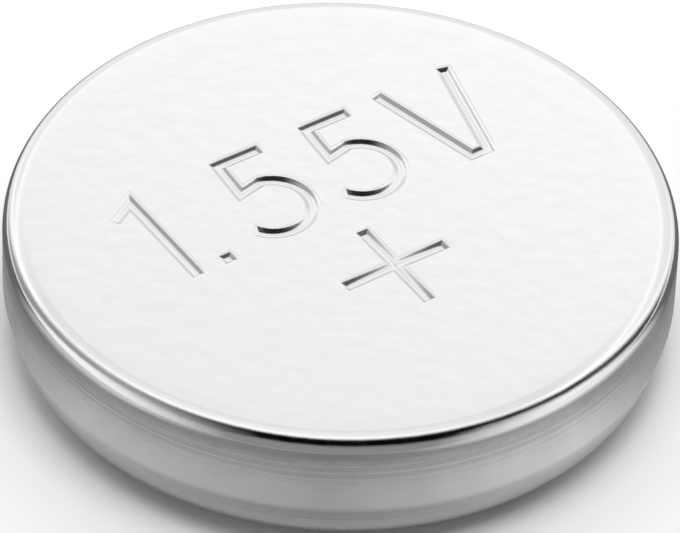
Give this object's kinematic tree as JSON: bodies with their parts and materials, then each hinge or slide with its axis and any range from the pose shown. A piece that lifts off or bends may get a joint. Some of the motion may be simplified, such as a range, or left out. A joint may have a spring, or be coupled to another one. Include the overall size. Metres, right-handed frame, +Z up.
{
  "type": "silver oxide watch battery",
  "caption": "Flat round button cell: a drawn steel can, crimped over a nylon gasket and a negative cap, with the zinc and silver oxide filling inside.",
  "frame": {"origin": "middle of the negative cap's flat face, which the cell lies on", "axes": "+Z up the cell's axis, from the negative face to the positive face"},
  "size_m": [0.0094, 0.0094, 0.0021],
  "materials": {
    "can_steel": "nickel-plated, drawn and tumbled to a bright satin",
    "gasket_nylon": "moulded natural nylon",
    "cap_steel": "nickel-faced, pressed to a bright satin",
    "zinc_gel": "grey powder in clear gel",
    "pad_fibre": "non-woven fibre",
    "film_cellulose": "thin satin film",
    "silver_oxide": "pressed dark powder"
  },
  "bodies": {
    "root": {"positive_can": "can_steel", "sealing_gasket": "gasket_nylon", "negative_cap": "cap_steel", "zinc_anode": "zinc_gel", "absorbent_pad": "pad_fibre", "barrier_film": "film_cellulose", "cathode_pellet": "silver_oxide"}
  },
  "joints": []
}
